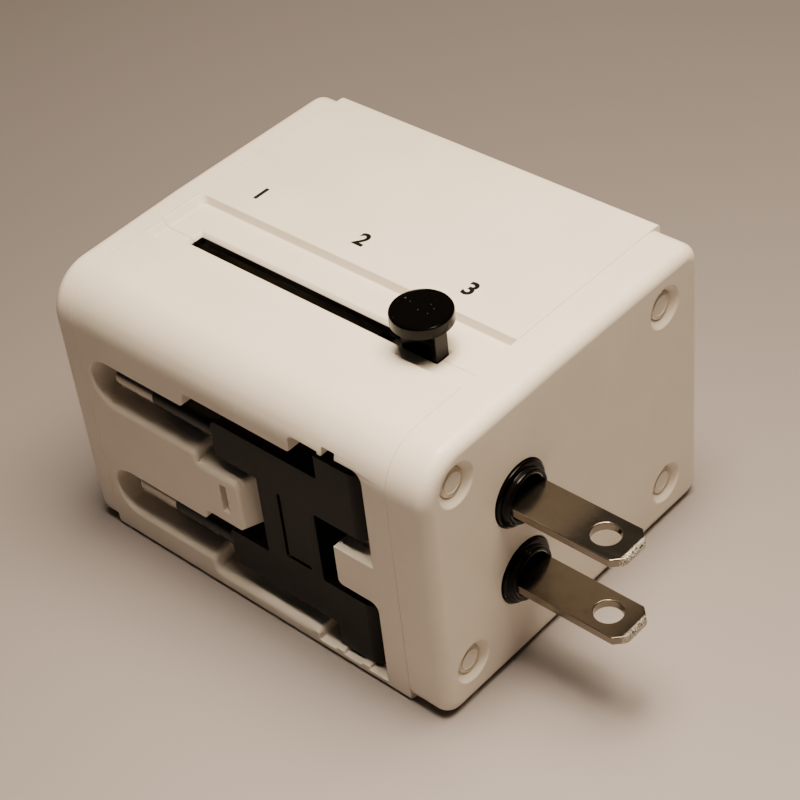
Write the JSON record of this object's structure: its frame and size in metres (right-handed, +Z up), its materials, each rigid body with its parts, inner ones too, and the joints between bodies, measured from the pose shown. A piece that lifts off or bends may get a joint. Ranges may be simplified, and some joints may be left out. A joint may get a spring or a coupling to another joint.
{
  "type": "universal usb travel adapter",
  "caption": "White block-shaped travel adapter: a slider on top brings out flat or rectangular pins, a round-pin plug folds out of the side, with an outlet and USB ports behind.",
  "frame": {"origin": "centre of the case's base face, which stands on the table; the pins and the knob don't count", "axes": "+Z up through the knob, +X out of the face with the flat blades, -Y out of the side with the folding round-pin plug, +Y out of the side with the outlet and the USB ports"},
  "size_m": [0.0803, 0.052, 0.0463],
  "materials": {
    "case_plastic": "glossy warm white moulding",
    "plug_plastic": "glossy warm white, slightly lighter than the case",
    "steel": "zinc-plated steel",
    "frame_plastic": "matt grey",
    "brass_sheet": "bare sheet brass",
    "outlet_plastic": "glossy warm white",
    "board": "green solder mask",
    "port_steel": "tin-plated sheet steel",
    "tongue_plastic": "matt white",
    "contact_gold": "gold-plated contact strip",
    "lead_red": "red insulation",
    "lead_black": "black insulation",
    "ferrite": "dark sintered ferrite",
    "winding_tape": "yellow tape over copper wire",
    "can": "aluminium in a printed sleeve",
    "fuse_glass": "clear glass",
    "nickel_plate": "nickel-plated brass, polished",
    "black_gloss": "glossy black",
    "carriage_plastic": "matt black",
    "sleeve_plastic": "matt black",
    "black_satin": "satin black, finely grained"
  },
  "bodies": {
    "case": {"front_shell": "case_plastic", "back_shell": "case_plastic", "plug_end_cap": "case_plastic", "rect_pin_end_cap": "case_plastic", "screw_plugs": "plug_plastic", "case_screws": "steel", "inner_frame": "frame_plastic", "line_rail": "brass_sheet", "neutral_rail": "brass_sheet", "socket_plate": "outlet_plastic", "socket_contact_line": "brass_sheet", "socket_contact_neutral": "brass_sheet", "socket_contact_earth": "brass_sheet", "usb_board": "board", "usb_port_shells": "port_steel", "usb_port_tongues": "tongue_plastic", "usb_contacts": "contact_gold", "usb_leads": "lead_red", "supply_leads": "lead_black", "power_board": "board", "transformer_core": "ferrite", "transformer_winding": "winding_tape", "capacitors": "can", "fuse_tube": "fuse_glass", "fuse_caps": "nickel_plate", "fuse_clips": "brass_sheet", "bracket_hinge_pin": "steel", "round_pin_contacts": "brass_sheet"},
    "slider": {"slider_knob": "black_gloss", "plug_carriage": "carriage_plastic", "carriage_lid": "carriage_plastic", "carriage_screws": "steel", "wipers": "brass_sheet", "detent_leaf": "steel", "rect_neutral_pin": "nickel_plate", "rect_line_pin": "nickel_plate", "rect_pin_sleeves": "sleeve_plastic", "rect_earth_pin": "black_gloss"},
    "lower_blade_rotor": {"lower_blade": "nickel_plate", "lower_rotor": "black_gloss"},
    "upper_blade_rotor": {"upper_blade": "nickel_plate", "upper_rotor": "black_gloss"},
    "round_pin_plug": {"round_pin_bracket": "black_satin", "lower_round_pin": "nickel_plate", "upper_round_pin": "nickel_plate", "round_pin_sleeves": "sleeve_plastic"}
  },
  "joints": [
    {"name": "slider_slide", "type": "slide", "parent": "case", "child": "slider", "axis": [-1, 0, 0], "range_m": [0, 0.0352]},
    {"name": "upper_blade_turn", "type": "hinge", "parent": "slider", "child": "upper_blade_rotor", "pos_m": [0.0289, -0.0101, 0.02625], "axis": [1, 0, 0], "range_deg": [0, 30]},
    {"name": "lower_blade_turn", "type": "hinge", "parent": "slider", "child": "lower_blade_rotor", "pos_m": [0.0289, -0.0101, 0.01355], "axis": [1, 0, 0], "range_deg": [-30, 0]},
    {"name": "round_pin_plug_fold", "type": "hinge", "parent": "case", "child": "round_pin_plug", "pos_m": [0.0187, -0.0227, 0.0177], "axis": [0, 0, 1], "range_deg": [0, 90]}
  ]
}
